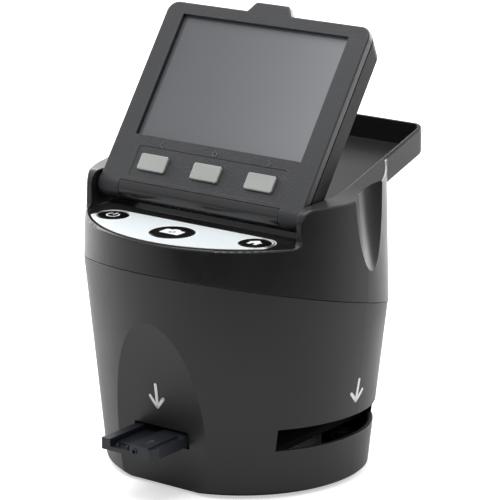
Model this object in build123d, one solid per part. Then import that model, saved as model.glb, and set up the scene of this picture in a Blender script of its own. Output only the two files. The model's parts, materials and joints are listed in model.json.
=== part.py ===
"""Desktop film negative scanner with a tilting screen.

Millimetres, +Z up, +X to the right seen from the front, -Y towards the user.
The origin lies on the underside of the base plate, below the middle of its round outline.
"""
from build123d import *
from math import atan, cos, hypot, radians, sin, tan
import os

# ---- Housing outline: a front arc, two tighter side arcs and a flat back ----
UPPER_FRONT_Y = -58.3
UPPER_HALF_WIDTH = 58.7
UPPER_SIDE_RADIUS = 38.0
UPPER_SIDE_Y = -0.5
UPPER_REFERENCE_Z = 58.0
UPPER_DRAFT_DEG = 1.8
BASE_FRONT_Y = -50.0
BASE_HALF_WIDTH = 50.4
BASE_SIDE_RADIUS = 33.1
BASE_SIDE_Y = 0.7
BASE_BACK_Y = BASE_SIDE_Y + BASE_SIDE_RADIUS
BASE_EDGE = 1.2
WALL = 2.2

# ---- Seam between the two shells, tilted down towards the back ----
SEAM_Z = 68.4
SEAM_SLOPE = 0.24
SEAM_GAP = 0.35
TONGUE_HEIGHT = 1.5
TONGUE_INSET = 1.15
TONGUE_CLEARANCE = 0.1

# ---- Deck, cheeks, basin and tray ----
DECK_Z = 93.6
DECK_THICKNESS = 2.2
CHEEK_FRONT_Y = -30.0
CHEEK_TOP_Z = 107.0
CHEEK_ROUND = 5.0
CHEEK_FOOT_ROUND = 2.5
CHEEK_BEND = 8.0
CHEEK_ROOM = 13.1
CHEEK_GAP = 0.8
RIM_ROUND = 0.8
RIM_Z = 108.4
RIM_SLOPE = 0.30
BASIN_DEPTH = 8.6
BASIN_FLOOR = 1.5
BASIN_HALF_WIDTH = UPPER_HALF_WIDTH - CHEEK_ROOM + CHEEK_GAP
BASIN_BACK_Y = 49.0
BASIN_CORNER = 3.2
TRAY_WALL = 1.5
TRAY_FRONT_Y = -8.0
TRAY_JOINT_ROUND = 3.2
TRAY_LOWER_ROUND = 1.2

# ---- Finger flutes on both flanks ----
FLUTE_RADIUS = 14.0
FLUTE_SWEEP = 160.0
FLUTE_Y = 1.1
FLUTE_Z = 125.3
FLUTE_DEPTH = 6.7

# ---- Front recess, front slot and side slot ----
RECESS_TOP_Z = 63.0
RECESS_TOP_SETBACK = 2.6
RECESS_MIDDLE_Z = 30.0
RECESS_MIDDLE_SETBACK = 0.9
RECESS_BASE_SETBACK = 3.8
RECESS_LEAD_RUN = 22.6
RECESS_LEAD_RISE = 52.0
FRONT_SLOT_WIDTH = 24.6
FRONT_SLOT_LOW_Z = 16.3
FRONT_SLOT_HIGH_Z = 22.6
SIDE_SLOT_FRONT_Y = -33.0
SIDE_SLOT_BACK_Y = 25.0
SIDE_SLOT_LOW_Z = 17.3
SIDE_SLOT_HIGH_Z = 25.6
SIDE_SLOT_LIP = 0.8

# ---- Base ----
BASE_PLATE_THICKNESS = 2.4
BASE_CLEARANCE = 0.2
FOOT_RADIUS = 5.0
FOOT_HEIGHT = 1.0
FOOT_POCKET = 0.6
FOOT_INSET = 26.4
FOOT_FRONT_INSET = 19.0
FOOT_BACK_INSET = 12.8
FOOT_X = BASE_HALF_WIDTH - FOOT_INSET
FOOT_FRONT_Y = BASE_FRONT_Y + FOOT_FRONT_INSET
FOOT_BACK_Y = BASE_BACK_Y - FOOT_BACK_INSET
BOSS_INSET = 14.4
BOSS_FRONT_INSET = 26.0
BOSS_BACK_INSET = 19.8
BOSS_X = BASE_HALF_WIDTH - BOSS_INSET
BOSS_FRONT_Y = BASE_FRONT_Y + BOSS_FRONT_INSET
BOSS_BACK_Y = BASE_BACK_Y - BOSS_BACK_INSET
BOSS_RADIUS = 3.6
BOSS_HEIGHT = 12.0
RIB_THICKNESS = 1.6
SCREW_RADIUS = 1.3
SCREW_HEAD_RADIUS = 2.6
SCREW_HEAD_HEIGHT = 1.4
SCREW_LENGTH = 9.0

# ---- Deck buttons and label ----
BUTTON_RISE = 0.4
CAPTURE_RADIUS = 8.2
CAPTURE_SETBACK = 17.1
CAPTURE_Y = UPPER_FRONT_Y + CAPTURE_SETBACK
SMALL_BUTTON_RADIUS = 5.85
SMALL_BUTTON_X = 0.547 * UPPER_HALF_WIDTH
SMALL_BUTTON_SETBACK = 23.2
SMALL_BUTTON_Y = UPPER_FRONT_Y + SMALL_BUTTON_SETBACK
BUTTON_CLEARANCE = 0.25
BUTTON_FLANGE = 1.2
BUTTON_FLANGE_THICKNESS = 0.8
BUTTON_TRAVEL = 0.7
BUTTON_SEAT_GAP = 0.05
LABEL_THICKNESS = 0.2
LABEL_BACK_Y = -27.6
LABEL_INSET = 1.9
LABEL_HALF_WIDTH = 0.668 * UPPER_HALF_WIDTH
LABEL_END_ROUND = 6.5
SWITCH_HEIGHT = 3.0
SWITCH_SIZE = 6.0
SWITCH_BODY_HEIGHT = 1.6
SWITCH_STEM_RADIUS = 1.7
SWITCH_BOARD_DEPTH = 19.0
SWITCH_BOARD_SETBACK = 17.3
BOARD_POST_RADIUS = 2.0
BOARD_POST_X = 20.0
BOARD_POST_Y = 5.0
BOARD_THICKNESS = 1.6

# ---- Screen: built flat, then leant back ----
SCREEN_LEAN_DEG = 54.3
SCREEN_Y = -15.0
SCREEN_Z = 120.0
BEZEL_HALF_WIDTH = UPPER_HALF_WIDTH - CHEEK_ROOM
BEZEL_TOP = 54.65
BEZEL_CORNER = 4.5
BEZEL_THICKNESS = 3.0
BEZEL_EDGE = 0.7
TAB_BASE_HALF = 10.0
TAB_TOP_HALF = 7.3
TAB_HEIGHT = 3.9
TAB_ROUND = 1.4
OPENING_BORDER = 8.3
OPENING_WIDTH = 2 * (BEZEL_HALF_WIDTH - OPENING_BORDER)
OPENING_HEIGHT = 49.8
WINDOW_RECESS = 1.8
WINDOW_BORDER = 1.5
WINDOW_CLEARANCE = 0.15
BARREL_RADIUS = 5.2
BARREL_DROP = 19.0
HINGE_END = 9.6
HINGE_COVER_HALF = BEZEL_HALF_WIDTH - HINGE_END
HINGE_COVER_GAP = 0.2
HINGE_COVER_WALL = 1.6
PIN_RADIUS = 2.0
PIN_CLEARANCE = 0.05
PIN_IN_BARREL = 7.6
PIN_IN_CHEEK = 5.0
COVER_NECK = 0.8
COVER_NECK_INSET = 1.2
COVER_DEPTH = 7.0
COVER_WALL = 1.6
COVER_SETBACK = 0.2
COVER_HALF_WIDTH = BEZEL_HALF_WIDTH - COVER_SETBACK
COVER_BACK_SLANT = 3.6
COVER_LOWER_EDGE = 2.5
SCREEN_SCREW_INSET = 4.0
SCREEN_SCREW_STEP = 1.1
SCREEN_SCREW_HIGH = 28.0
SCREEN_SCREW_LOW = -5.0
SCREEN_BOSS_RADIUS = 3.0

# ---- Screen keys ----
KEY_WIDTH = 12.3
KEY_HEIGHT = 6.45
KEY_CORNER = 0.8
KEY_CENTRE = -10.4
KEY_RISE = 0.9
KEY_CLEARANCE = 0.2
KEY_FLANGE = 0.9
KEY_FLANGE_THICKNESS = 0.8
KEY_TRAVEL = 0.7
KEY_DOME_RADIUS = 2.4
KEY_DOME_HEIGHT = 0.5
KEY_BOARD_THICKNESS = 1.0
KEY_BOARD_DEPTH = 10.0
KEY_PANEL_BORDER = 12.2
KEY_PANEL_MARGIN = 3.05
KEY_PANEL_HALF_WIDTH = BEZEL_HALF_WIDTH - KEY_PANEL_BORDER
KEY_PITCH = KEY_PANEL_HALF_WIDTH - KEY_PANEL_MARGIN - KEY_WIDTH / 2
KEY_PANEL_TOP = -4.1
KEY_PANEL_BOTTOM = -17.0
KEY_PANEL_DEPTH = 0.15

# ---- Film path and optics ----
GATE_PLATE = 2.4
GATE_INSET = 12.4
GATE_FRONT_INSET = 7.0
GATE_BACK_INSET = 4.8
GATE_HALF_WIDTH = BASE_HALF_WIDTH - GATE_INSET
GATE_FRONT_Y = BASE_FRONT_Y + GATE_FRONT_INSET
GATE_BACK_Y = BASE_BACK_Y - GATE_BACK_INSET
GATE_WINDOW_X = 38.0
GATE_WINDOW_Y = 26.0
GATE_POST_RADIUS = 2.0
GATE_POST_INSET = 12.0
GATE_POST_FRONT_INSET = 6.5
GATE_POST_BACK_INSET = 2.0
FILM_CENTRE_Y = -4.0
ADAPTER_WIDTH = 23.6
ADAPTER_LOW_GAP = 0.1
ADAPTER_HEIGHT = 4.3
ADAPTER_FRONT_Y = -67.6
ADAPTER_LENGTH = 84.0
FILM_CHANNEL_WIDTH = 9.0
FILM_CHANNEL_DEPTH = 2.0
FILM_CHANNEL_X = -3.5
LIGHT_BOX_WALL = 2.0
LIGHT_BOX_X = 52.0
LIGHT_BOX_Y = 40.0
DIFFUSER_THICKNESS = 1.5
OPTICS_SIZE = 44.0
OPTICS_HEIGHT = 18.0
LENS_RADIUS = 8.0
LENS_LENGTH = 16.0
LENS_GLASS_RADIUS = 5.0
LENS_GLASS_THICKNESS = 3.0
OPTICS_WALL = 2.0
OPTICS_POST_RADIUS = 2.0
OPTICS_POST_HEIGHT = 12.0
SENSOR_SIZE = 12.0
SENSOR_THICKNESS = 1.8
LED_SIZE = 3.5
LED_PITCH_X = 15.0
LED_PITCH_Y = 10.0

# ---- Main board and sockets on the back ----
MAIN_BOARD_HALF_WIDTH = 24.0
MAIN_BOARD_SETBACK = 8.8
MAIN_BOARD_Y = BASE_BACK_Y - MAIN_BOARD_SETBACK
MAIN_BOARD_LOW_Z = 40.0
MAIN_BOARD_HIGH_Z = 74.0
PROCESSOR_WIDTH = 16.0
PROCESSOR_HEIGHT = 12.0
PROCESSOR_THICKNESS = 1.2
PROCESSOR_Z = 64.0
SOCKET_Z = 50.0
SOCKET_CLEARANCE = 0.3
SOCKET_SETBACK = 0.6
SOCKETS = {
    "usb_socket": (-14.0, 8.2, 4.2),
    "video_socket": (0.0, 11.4, 4.2),
    "card_socket": (15.0, 25.0 / 2, 3.0),
}

FAR = 200.0

# ---- Values worked out from the sizes above ----
upper_back_y = UPPER_SIDE_Y + UPPER_SIDE_RADIUS
gate_floor_z = SIDE_SLOT_LOW_Z
gate_roof_z = SIDE_SLOT_HIGH_Z + 0.1
deck_under_z = DECK_Z - DECK_THICKNESS
cover_front = -BEZEL_THICKNESS
cover_shoulder = cover_front - COVER_NECK
cover_back = cover_shoulder - COVER_DEPTH
screen_place = Pos(0, SCREEN_Y, SCREEN_Z) * Rot(SCREEN_LEAN_DEG, 0, 0)
barrel_place = Pos(0, -BARREL_DROP, -BARREL_RADIUS) * Rot(0, 90, 0)


# ---- Helpers ----
def body_outline(front_y, half_width, side_radius, side_y, z):
    """Face with a front arc tangent to two side arcs, closed by a straight back."""
    side_x = half_width - side_radius
    reach = front_y + side_radius
    centre_y = (side_x**2 + side_y**2 - reach**2) / (2 * (side_y - reach))
    radius = centre_y - front_y
    span = hypot(side_x, side_y - centre_y)
    join = (side_x * radius / span, centre_y + (side_y - centre_y) * radius / span)
    middle_angle = radians(42)
    bulge = (side_x + side_radius * cos(middle_angle), side_y + side_radius * sin(middle_angle))
    back = (side_x, side_y + side_radius)
    curves = [
        ThreePointArc((-join[0], join[1]), (0, front_y), join),
        ThreePointArc(join, bulge, back),
        Line(back, (-back[0], back[1])),
        ThreePointArc((-back[0], back[1]), (-bulge[0], bulge[1]), (-join[0], join[1])),
    ]
    return Pos(0, 0, z) * make_face(curves)


def draft(z):
    """How far the upper shell has drawn in at height z."""
    return (z - UPPER_REFERENCE_Z) * tan(radians(UPPER_DRAFT_DEG))


def upper_section(z, inset):
    """Section of the upper shell at height z, drawn in by inset."""
    narrowing = draft(z) + inset
    return body_outline(
        UPPER_FRONT_Y + narrowing,
        UPPER_HALF_WIDTH - narrowing,
        UPPER_SIDE_RADIUS - narrowing,
        UPPER_SIDE_Y,
        z,
    )


def lower_section(z, inset):
    """Section of the lower shell at height z; it meets the upper shell along the seam."""
    front_z, side_z = seam_z(UPPER_FRONT_Y), seam_z(UPPER_SIDE_Y)
    front = BASE_FRONT_Y + (UPPER_FRONT_Y + draft(front_z) - BASE_FRONT_Y) * z / front_z
    half = BASE_HALF_WIDTH + (UPPER_HALF_WIDTH - draft(side_z) - BASE_HALF_WIDTH) * z / side_z
    radius = BASE_SIDE_RADIUS + (UPPER_SIDE_RADIUS - draft(side_z) - BASE_SIDE_RADIUS) * z / side_z
    return body_outline(front + inset, half - inset, radius - inset, lower_back_y(z) - radius, z)


def lower_back_y(z):
    back_z = seam_z(upper_back_y)
    return BASE_BACK_Y + (upper_back_y - draft(back_z) - BASE_BACK_Y) * z / back_z


def seam_z(y):
    return SEAM_Z - SEAM_SLOPE * y


def side_profile(points, half_width):
    """Solid from a side view outline of (y, z) points, as wide as 2 * half_width."""
    face = Plane.YZ * make_face(Polyline(*points, close=True))
    return extrude(face, half_width, both=True)


def seam_plane(offset):
    """Plane of the seam, raised by offset."""
    return Plane(origin=(0, 0, SEAM_Z + offset), z_dir=(0, SEAM_SLOPE, 1))


def below_seam(part, offset):
    return split(part, bisect_by=seam_plane(offset), keep=Keep.BOTTOM)


def above_seam(part, offset):
    return split(part, bisect_by=seam_plane(offset), keep=Keep.TOP)


def upper_body(inset):
    low_z = SEAM_Z - SEAM_SLOPE * FAR / 3
    high_z = RIM_Z + RIM_SLOPE * BASIN_BACK_Y
    return loft([upper_section(low_z, inset), upper_section(high_z, inset)], ruled=True)


def lower_body(inset):
    low_z = -1.0 if inset else BASE_EDGE
    high_z = SEAM_Z + SEAM_SLOPE * FAR / 3
    return loft([lower_section(low_z, inset), lower_section(high_z, inset)], ruled=True)


def rim_z(y, drop=0.0):
    return RIM_Z + RIM_SLOPE * y - drop


def box_between(low, high):
    size = [abs(b - a) for a, b in zip(low, high)]
    middle = [(a + b) / 2 for a, b in zip(low, high)]
    return Pos(*middle) * Box(*size)


def disc(radius, low_z, high_z, x=0.0, y=0.0):
    return Pos(x, y, (low_z + high_z) / 2) * Cylinder(radius, high_z - low_z)


def flute(side, extra):
    """Ring that cuts one finger flute, running out downwards; extra thickens it for the inside."""
    ring_x = UPPER_HALF_WIDTH - FLUTE_DEPTH + FLUTE_RADIUS + FLUTE_SWEEP
    ring = Torus(FLUTE_SWEEP, FLUTE_RADIUS + extra)
    return Pos(side * ring_x, FLUTE_Y, FLUTE_Z) * Rot(90, 0, 0) * ring


def front_recess(shift):
    """Everything in front of the curved recess face, moved back by shift."""
    base = (BASE_FRONT_Y + RECESS_BASE_SETBACK + shift, -BASE_PLATE_THICKNESS)
    middle = (BASE_FRONT_Y + RECESS_MIDDLE_SETBACK + shift, RECESS_MIDDLE_Z)
    top = (UPPER_FRONT_Y + RECESS_TOP_SETBACK + shift, RECESS_TOP_Z)
    lead_out = (top[0] - RECESS_LEAD_RUN, top[1] + RECESS_LEAD_RISE)
    curves = [
        ThreePointArc(base, middle, top),
        Line(top, lead_out),
        Line(lead_out, (-FAR, lead_out[1])),
        Line((-FAR, lead_out[1]), (-FAR, base[1])),
        Line((-FAR, base[1]), base),
    ]
    return extrude(Plane.YZ * make_face(curves), UPPER_HALF_WIDTH, both=True)


def corners(x, front_y, back_y):
    return [(sx * x, y) for sx in (-1, 1) for y in (front_y, back_y)]


# ---- Lower housing and base ----
def lower_housing():
    skirt = loft([lower_section(0, BASE_EDGE), lower_section(BASE_EDGE, 0)], ruled=True)
    outer = skirt + below_seam(lower_body(0), -SEAM_GAP)
    outer = outer - front_recess(0)
    tongue = below_seam(upper_body(TONGUE_INSET), TONGUE_HEIGHT)
    tongue = tongue - below_seam(upper_body(TONGUE_INSET), -WALL)
    cavity = lower_body(WALL) - front_recess(WALL)
    shell = outer + tongue - cavity
    bosses = [
        disc(BOSS_RADIUS, BASE_PLATE_THICKNESS, BOSS_HEIGHT, x, y)
        - disc(SCREW_RADIUS, 0, SCREW_LENGTH + 1, x, y)
        for x, y in corners(BOSS_X, BOSS_FRONT_Y, BOSS_BACK_Y)
    ]
    ribs = [
        Pos(1.2 * x, y, (BASE_PLATE_THICKNESS + BOSS_HEIGHT) / 2)
        * Box(0.4 * abs(x), RIB_THICKNESS, BOSS_HEIGHT - BASE_PLATE_THICKNESS)
        - disc(BOSS_RADIUS - 0.4, 0, BOSS_HEIGHT + 1, x, y)
        for x, y in corners(BOSS_X, BOSS_FRONT_Y, BOSS_BACK_Y)
    ]
    ribs = [rib & lower_body(WALL / 2) for rib in ribs]
    shell = shell + bosses + ribs
    slot_half = FRONT_SLOT_WIDTH / 2
    shell -= box_between(
        (-slot_half, BASE_FRONT_Y - 5, FRONT_SLOT_LOW_Z),
        (slot_half, GATE_FRONT_Y, FRONT_SLOT_HIGH_Z),
    )
    shell -= box_between(
        (GATE_HALF_WIDTH - 2, SIDE_SLOT_FRONT_Y, SIDE_SLOT_LOW_Z),
        (UPPER_HALF_WIDTH + 5, SIDE_SLOT_BACK_Y, SIDE_SLOT_HIGH_Z),
    )
    shell = fillet(side_slot_lip(shell), SIDE_SLOT_LIP)
    for x, width, height in SOCKETS.values():
        shell -= Pos(x, BASE_BACK_Y, SOCKET_Z) * Box(
            width + 2 * SOCKET_CLEARANCE, 20, height + 2 * SOCKET_CLEARANCE
        )
    return shell


def side_slot_lip(shell):
    """Outer lower edge of the side slot."""
    sill = [e for e in shell.edges() if abs(e.center().Z - SIDE_SLOT_LOW_Z) < 0.01]
    return max(sill, key=lambda e: e.length)


def base_plate():
    plate = extrude(lower_section(0, WALL + BASE_CLEARANCE), BASE_PLATE_THICKNESS)
    plate -= front_recess(WALL + BASE_CLEARANCE)
    for x, y in corners(FOOT_X, FOOT_FRONT_Y, FOOT_BACK_Y):
        plate -= disc(FOOT_RADIUS + BASE_CLEARANCE, -1, FOOT_POCKET, x, y)
    for x, y in corners(BOSS_X, BOSS_FRONT_Y, BOSS_BACK_Y):
        plate -= disc(SCREW_RADIUS + BASE_CLEARANCE, -1, BASE_PLATE_THICKNESS + 1, x, y)
        plate -= disc(SCREW_HEAD_RADIUS + BASE_CLEARANCE, -1, SCREW_HEAD_HEIGHT, x, y)
    return plate


def rubber_feet():
    feet = []
    for x, y in corners(FOOT_X, FOOT_FRONT_Y, FOOT_BACK_Y):
        foot = disc(FOOT_RADIUS, -FOOT_HEIGHT, FOOT_POCKET, x, y)
        feet.append(chamfer(foot.edges().sort_by(Axis.Z)[0], 0.4))
    return feet


def base_screws():
    return [
        disc(SCREW_RADIUS, 0.2, SCREW_LENGTH, x, y)
        + disc(SCREW_HEAD_RADIUS, 0.2, SCREW_HEAD_HEIGHT, x, y)
        for x, y in corners(BOSS_X, BOSS_FRONT_Y, BOSS_BACK_Y)
    ]


# ---- Upper housing ----
def deck_and_cheeks_above():
    """All that is cut away above the deck, the cheeks and the tilted rim."""
    flat_end_y = (CHEEK_TOP_Z - RIM_Z) / RIM_SLOPE
    corner = (CHEEK_FRONT_Y + CHEEK_ROUND, CHEEK_TOP_Z - CHEEK_ROUND)
    bend = (corner[0] - CHEEK_ROUND * cos(radians(45)), corner[1] + CHEEK_ROUND * sin(radians(45)))
    rim_angle = atan(RIM_SLOPE)
    bend_radius = CHEEK_BEND / tan(rim_angle / 2)
    bend_start = (flat_end_y - CHEEK_BEND, CHEEK_TOP_Z)
    bend_middle = (
        bend_start[0] + bend_radius * sin(rim_angle / 2),
        CHEEK_TOP_Z + bend_radius * (1 - cos(rim_angle / 2)),
    )
    bend_end = (
        flat_end_y + CHEEK_BEND * cos(rim_angle), CHEEK_TOP_Z + CHEEK_BEND * sin(rim_angle)
    )
    foot = (CHEEK_FRONT_Y - CHEEK_FOOT_ROUND, DECK_Z + CHEEK_FOOT_ROUND)
    foot_bend = (
        foot[0] + CHEEK_FOOT_ROUND * cos(radians(45)), foot[1] - CHEEK_FOOT_ROUND * sin(radians(45))
    )
    curves = [
        Line((-FAR, DECK_Z), (foot[0], DECK_Z)),
        ThreePointArc((foot[0], DECK_Z), foot_bend, (CHEEK_FRONT_Y, foot[1])),
        Line((CHEEK_FRONT_Y, foot[1]), (CHEEK_FRONT_Y, corner[1])),
        ThreePointArc((CHEEK_FRONT_Y, corner[1]), bend, (corner[0], CHEEK_TOP_Z)),
        Line((corner[0], CHEEK_TOP_Z), bend_start),
        ThreePointArc(bend_start, bend_middle, bend_end),
        Line(bend_end, (FAR, rim_z(FAR))),
        Line((FAR, rim_z(FAR)), (FAR, FAR)),
        Line((FAR, FAR), (-FAR, FAR)),
        Line((-FAR, FAR), (-FAR, DECK_Z)),
    ]
    return extrude(Plane.YZ * make_face(curves), FAR / 2, both=True)


def tray_block():
    """Box of the tray that overhangs the back, between the rim and its underside."""
    half = BASIN_HALF_WIDTH + TRAY_WALL
    back = BASIN_BACK_Y + TRAY_WALL
    plan = Pos(0, (TRAY_FRONT_Y + back) / 2) * Rectangle(2 * half, back - TRAY_FRONT_Y)
    plan = fillet(plan.vertices().group_by(Axis.Y)[-1], BASIN_CORNER + TRAY_WALL)
    drop = BASIN_DEPTH + BASIN_FLOOR
    band = [
        (TRAY_FRONT_Y, rim_z(TRAY_FRONT_Y, drop)),
        (FAR, rim_z(FAR, drop)),
        (FAR, rim_z(FAR)),
        (TRAY_FRONT_Y, rim_z(TRAY_FRONT_Y)),
    ]
    return extrude(Pos(0, 0, DECK_Z) * plan, FAR / 2) & side_profile(band, half + 1)


def basin_cavity():
    """Hinge trough and the tilted basin behind it, open at the top."""
    start_y = CHEEK_FRONT_Y - 2 * CHEEK_FOOT_ROUND
    bend_y = (DECK_Z - RIM_Z + BASIN_DEPTH) / RIM_SLOPE
    section = [
        (start_y, DECK_Z),
        (bend_y, DECK_Z),
        (FAR, rim_z(FAR, BASIN_DEPTH)),
        (FAR, FAR),
        (start_y, FAR),
    ]
    plan = Pos(0, (start_y + BASIN_BACK_Y) / 2)
    plan = plan * Rectangle(2 * BASIN_HALF_WIDTH, BASIN_BACK_Y - start_y)
    plan = fillet(plan.vertices().group_by(Axis.Y)[-1], BASIN_CORNER)
    return extrude(plan, FAR) & side_profile(section, BASIN_HALF_WIDTH + 1)


def upper_cavity():
    """Inside of the upper shell, kept below the deck and the basin floor."""
    drop = BASIN_DEPTH + BASIN_FLOOR
    bend_y = (deck_under_z - RIM_Z + drop) / RIM_SLOPE
    ceiling = [
        (-FAR, 0),
        (-FAR, deck_under_z),
        (bend_y, deck_under_z),
        (FAR, rim_z(FAR, drop)),
        (FAR, 0),
    ]
    cavity = upper_body(WALL) & side_profile(ceiling, FAR / 2)
    for side in (-1, 1):
        cavity -= flute(side, WALL)
    return cavity


def button_places():
    """Name, x, y and radius of each deck button."""
    return [
        ("power_button", -SMALL_BUTTON_X, SMALL_BUTTON_Y, SMALL_BUTTON_RADIUS),
        ("capture_button", 0.0, CAPTURE_Y, CAPTURE_RADIUS),
        ("home_button", SMALL_BUTTON_X, SMALL_BUTTON_Y, SMALL_BUTTON_RADIUS),
    ]


def is_outer_rim(edge):
    """Whether an edge of the solid body runs along the lip, the cheeks or the tray's rim."""
    start, end = edge @ 0, edge @ 1
    if min(start.Z, end.Z) < DECK_Z - 0.05:
        return False
    in_body = start.Y < upper_back_y
    crosses_body = edge.geom_type == GeomType.LINE and abs(start.X + end.X) < 1 and in_body
    behind_cheeks = start.Y > CHEEK_FRONT_Y + CHEEK_ROUND + 0.1
    on_top = [p.Z > max(CHEEK_TOP_Z, rim_z(p.Y)) - 0.05 for p in (start, end)]
    return not crosses_body and (not behind_cheeks or all(on_top))


def rounded_form():
    """Upper housing as one solid block, with its outer edges rounded."""
    body = above_seam(upper_body(0), 0) - deck_and_cheeks_above() + tray_block()
    tray_low = rim_z(BASIN_BACK_Y, (BASIN_DEPTH + BASIN_FLOOR) * 0.8)
    behind = [e for e in body.edges() if e.center().Y > upper_back_y]
    body = fillet([e for e in behind if max((e @ 0).Z, (e @ 1).Z) < tray_low], TRAY_LOWER_ROUND)
    flank = BASIN_HALF_WIDTH + TRAY_WALL
    curved = body.edges().filter_by(GeomType.HYPERBOLA)
    body = fillet([e for e in curved if abs(abs(e.center().X) - flank) < 0.1], TRAY_JOINT_ROUND)
    return fillet(body.edges().filter_by(is_outer_rim), RIM_ROUND)


def upper_housing():
    body = rounded_form()
    for side in (-1, 1):
        body -= flute(side, 0)
    body = body - basin_cavity() - upper_cavity()
    rebate = upper_body(TONGUE_INSET - TONGUE_CLEARANCE)
    body -= below_seam(rebate, TONGUE_HEIGHT)
    for _, x, y, radius in button_places():
        body -= disc(radius + BUTTON_CLEARANCE, deck_under_z - 1, DECK_Z + 1, x, y)
    hinge = screen_place * barrel_place
    pin_reach = BASIN_HALF_WIDTH + PIN_IN_CHEEK
    body -= hinge * Cylinder(PIN_RADIUS, 2 * pin_reach)
    for x, y in board_posts():
        body += disc(BOARD_POST_RADIUS, switch_board_top(), deck_under_z, x, y)
    return body


def board_posts():
    middle = (CAPTURE_Y + SMALL_BUTTON_Y) / 2
    return corners(BOARD_POST_X, middle - BOARD_POST_Y, middle + BOARD_POST_Y)


# ---- Deck buttons, label and their switch board ----
def button_low_z():
    return deck_under_z - BUTTON_SEAT_GAP - BUTTON_FLANGE_THICKNESS


def switch_board_top():
    return button_low_z() - BUTTON_TRAVEL - 0.1 - SWITCH_HEIGHT


def deck_button(x, y, radius):
    cap = disc(radius, deck_under_z - BUTTON_SEAT_GAP, DECK_Z + BUTTON_RISE, x, y)
    cap = fillet(cap.edges().sort_by(Axis.Z)[-1], 0.3)
    return cap + disc(radius + BUTTON_FLANGE, button_low_z(), deck_under_z - BUTTON_SEAT_GAP, x, y)


def control_label():
    edge = upper_section(DECK_Z, LABEL_INSET)
    window_depth = LABEL_BACK_Y - UPPER_FRONT_Y
    window = Pos(0, LABEL_BACK_Y - window_depth / 2, DECK_Z)
    window = window * Rectangle(2 * LABEL_HALF_WIDTH, window_depth)
    plan = edge & window
    plan = fillet(plan.vertices().group_by(Axis.Y)[-1], LABEL_END_ROUND)
    label = extrude(plan, LABEL_THICKNESS)
    for _, x, y, radius in button_places():
        label -= disc(radius + BUTTON_CLEARANCE, DECK_Z - 1, DECK_Z + 1, x, y)
    return label


def deck_switch_board():
    top = switch_board_top()
    cutter = Rectangle(2 * LABEL_HALF_WIDTH, SWITCH_BOARD_DEPTH)
    place = Pos(0, UPPER_FRONT_Y + SWITCH_BOARD_SETBACK, top)
    plan = upper_section(top, 1.5 * WALL) & (place * cutter)
    board = extrude(plan, -BOARD_THICKNESS)
    for _, x, y, radius in button_places():
        board += Pos(x, y, top + SWITCH_BODY_HEIGHT / 2) * Box(
            SWITCH_SIZE, SWITCH_SIZE, SWITCH_BODY_HEIGHT
        )
        board += disc(SWITCH_STEM_RADIUS, top, top + SWITCH_HEIGHT, x, y)
    return board


# ---- Screen pieces, built flat: x across, y up the screen, z out of its face ----
def bezel_plan():
    plate = Pos(0, (BEZEL_TOP - BARREL_DROP) / 2)
    plate = plate * Rectangle(2 * BEZEL_HALF_WIDTH, BEZEL_TOP + BARREL_DROP)
    plate = fillet(plate.vertices().group_by(Axis.Y)[-1], BEZEL_CORNER)
    tab = make_face(
        Polyline(
            (-TAB_BASE_HALF, BEZEL_TOP - 2),
            (-TAB_BASE_HALF, BEZEL_TOP),
            (-TAB_TOP_HALF, BEZEL_TOP + TAB_HEIGHT),
            (TAB_TOP_HALF, BEZEL_TOP + TAB_HEIGHT),
            (TAB_BASE_HALF, BEZEL_TOP),
            (TAB_BASE_HALF, BEZEL_TOP - 2),
            close=True,
        )
    )
    tab = fillet(tab.vertices().group_by(Axis.Y)[-1], TAB_ROUND)
    return plate + tab


def key_places():
    return [(name, offset * KEY_PITCH) for name, offset in
            (("key_left", -1), ("key_middle", 0), ("key_right", 1))]


def rounded_block(width, height, radius, low, high, x=0.0, y=0.0):
    plan = Pos(x, y, low) * RectangleRounded(width, height, radius)
    return extrude(plan, high - low)


def screen_bezel():
    bezel = extrude(bezel_plan(), -BEZEL_THICKNESS)
    front_edges = bezel.faces().sort_by(Axis.Z)[-1].outer_wire().edges()
    rim = [e for e in front_edges if e.center().Y > -BARREL_DROP + 1]
    bezel = fillet(rim, BEZEL_EDGE)
    middle = OPENING_HEIGHT / 2
    bezel -= Pos(0, middle, 0) * Box(OPENING_WIDTH, OPENING_HEIGHT, 2 * FAR)
    pocket = 2 * (WINDOW_BORDER + WINDOW_CLEARANCE)
    bezel -= box_between(
        (-(OPENING_WIDTH + pocket) / 2, -pocket / 2, -BEZEL_THICKNESS - 1),
        ((OPENING_WIDTH + pocket) / 2, OPENING_HEIGHT + pocket / 2, -WINDOW_RECESS),
    )
    panel_middle = (KEY_PANEL_TOP + KEY_PANEL_BOTTOM) / 2
    panel_height = KEY_PANEL_TOP - KEY_PANEL_BOTTOM
    bezel -= rounded_block(
        2 * KEY_PANEL_HALF_WIDTH, panel_height, 1.2, -KEY_PANEL_DEPTH, 1, 0, panel_middle
    )
    for _, x in key_places():
        bezel -= rounded_block(
            KEY_WIDTH + 2 * KEY_CLEARANCE, KEY_HEIGHT + 2 * KEY_CLEARANCE,
            KEY_CORNER, -BEZEL_THICKNESS - 1, 1, x, KEY_CENTRE,
        )
    cover_half = HINGE_COVER_HALF + HINGE_COVER_GAP
    bezel -= box_between(
        (-cover_half, -FAR, -FAR), (cover_half, -BARREL_DROP + HINGE_COVER_GAP + 0.4, FAR)
    )
    end_width = BEZEL_HALF_WIDTH - cover_half
    for side in (-1, 1):
        end = Pos(side * (cover_half + end_width / 2), 0, 0) * barrel_place
        bezel += end * Cylinder(BARREL_RADIUS, end_width)
    bore_depth = PIN_IN_BARREL + 0.4
    for side in (-1, 1):
        bore = Pos(side * (BEZEL_HALF_WIDTH - bore_depth / 2 + 0.5), 0, 0) * barrel_place
        bezel -= bore * Cylinder(PIN_RADIUS + PIN_CLEARANCE, bore_depth + 1)
    return bezel


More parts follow.
